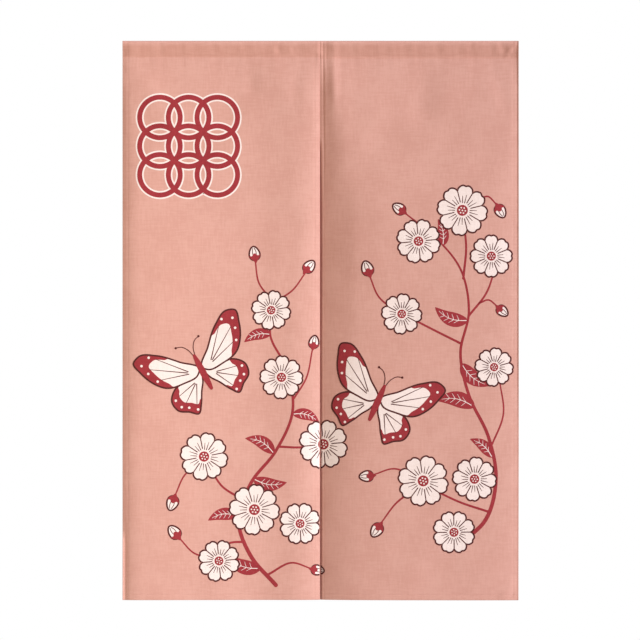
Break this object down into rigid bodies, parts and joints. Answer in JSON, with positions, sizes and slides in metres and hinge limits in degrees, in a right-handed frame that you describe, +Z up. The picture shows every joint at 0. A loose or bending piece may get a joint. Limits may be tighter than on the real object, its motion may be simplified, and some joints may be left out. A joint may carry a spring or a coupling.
{
  "type": "noren curtain",
  "caption": "Two-panel fabric doorway curtain with a rod channel along its top and a centre slit that is sewn shut near the top.",
  "frame": {"origin": "the middle of the curtain's top edge, half way through the rod channel's depth", "axes": "+Z up, -Y towards the person who looks at the printed face, +X to that person's right"},
  "size_m": [0.85, 0.0395, 1.2],
  "materials": {
    "panel_cloth": "plain-woven matt cloth, salmon pink",
    "channel_cloth": "the same cloth, doubled and stitched, slightly puckered",
    "crimson_print": "flat crimson print in the cloth",
    "white_print": "flat off-white print in the cloth",
    "sewing_thread": "matt sewing thread in the cloth's own colour"
  },
  "bodies": {
    "root": {"left_panel": "panel_cloth", "right_panel": "panel_cloth", "left_rod_channel": "channel_cloth", "right_rod_channel": "channel_cloth"}
  },
  "joints": []
}
